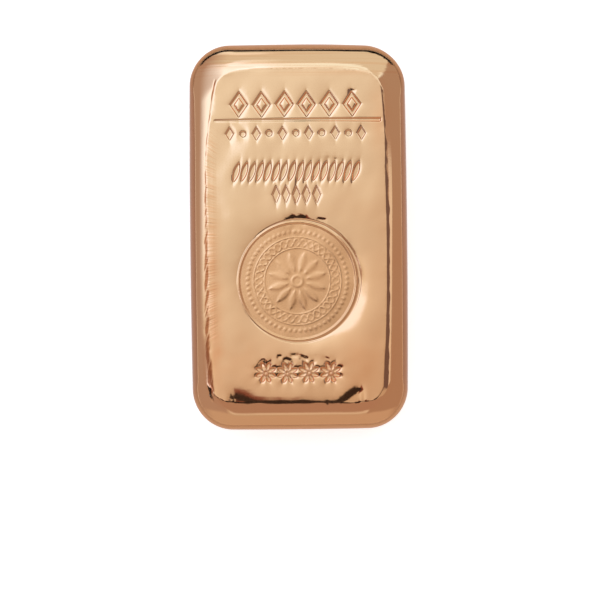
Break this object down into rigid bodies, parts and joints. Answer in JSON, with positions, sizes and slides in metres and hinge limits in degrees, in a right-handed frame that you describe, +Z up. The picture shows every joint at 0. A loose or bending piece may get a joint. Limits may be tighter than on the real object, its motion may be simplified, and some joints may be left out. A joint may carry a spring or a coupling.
{
  "type": "copper ingot",
  "caption": "Cast copper bar with rolled shoulders, a slightly sunken face with a round stamp, drafted walls and a flat back; raw stock that lies flat or stacks.",
  "frame": {"origin": "centre of the flat back, on the surface that the bar rests on", "axes": "+X across the bar, +Y along the bar towards the end with the score line, +Z up through the poured face"},
  "size_m": [0.0564, 0.1, 0.0217],
  "materials": {
    "polished_copper": "polished cast copper, slightly tarnished in the recesses"
  },
  "bodies": {
    "root": {"ingot": "polished_copper"}
  },
  "joints": []
}
